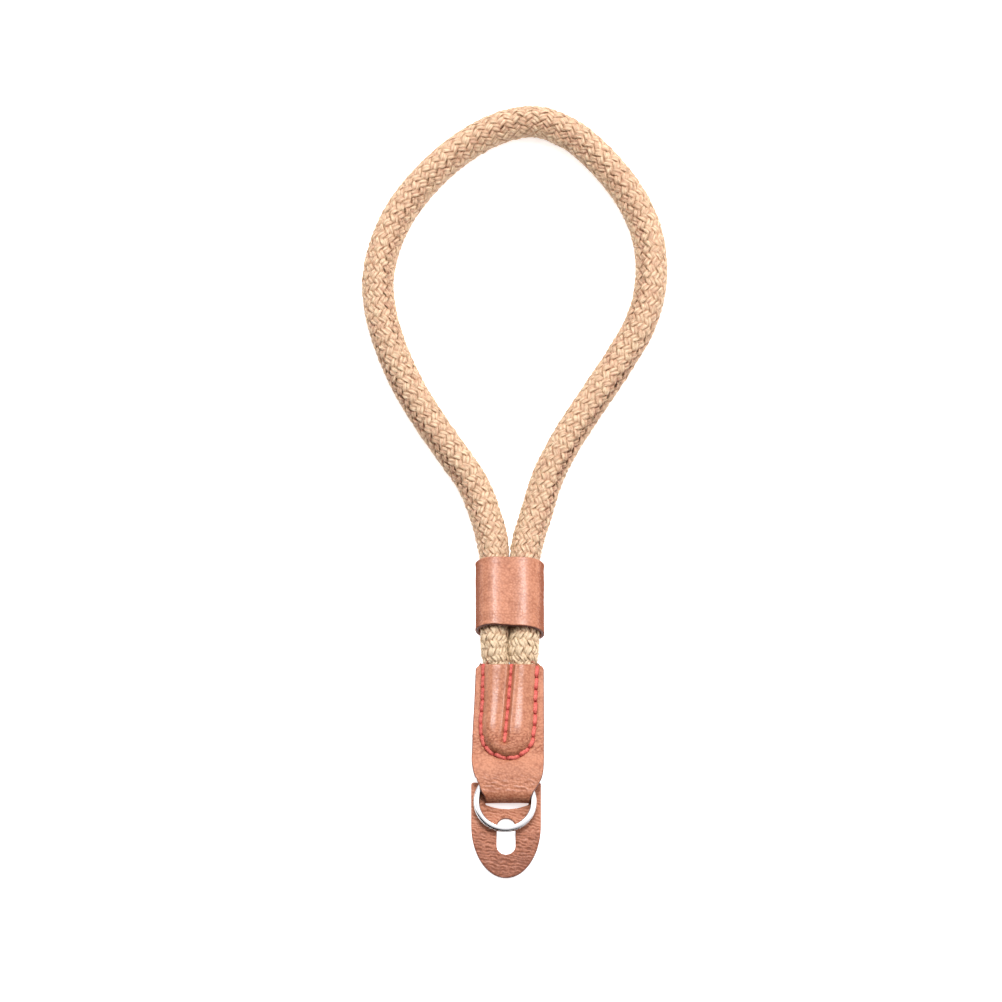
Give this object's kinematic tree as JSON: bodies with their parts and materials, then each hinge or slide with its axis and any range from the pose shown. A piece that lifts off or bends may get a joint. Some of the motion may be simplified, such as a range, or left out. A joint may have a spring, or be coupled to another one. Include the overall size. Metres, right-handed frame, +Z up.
{
  "type": "camera wrist strap",
  "caption": "Wrist strap for a camera: a loop of thick braided cord held by a leather keeper, with a sewn leather tab, a split ring and a leather lug pad.",
  "frame": {"origin": "centre of the strap's footprint, on the surface that it lies on", "axes": "+Y along the strap towards the top of the wrist loop, +Z up from the surface, +X to the right seen from the pad end"},
  "size_m": [0.0967, 0.2628, 0.0129],
  "materials": {
    "cord": "round braid of cream and tan cotton yarns, matte",
    "leather": "tan leather, fine grain, satin",
    "steel": "polished steel wire",
    "pad_leather": "tan leather with strong creased grain, satin"
  },
  "bodies": {
    "strap": {"cord_loop": "cord", "collar": "leather", "tab": "leather", "camera_pad": "pad_leather"},
    "ring": {"split_ring": "steel"}
  },
  "joints": [
    {"name": "ring_spin", "type": "hinge", "parent": "strap", "child": "ring", "pos_m": [-0.003, -0.10665, 0.00366], "axis": [0, -0.1115, 0.9938], "continuous": true}
  ]
}
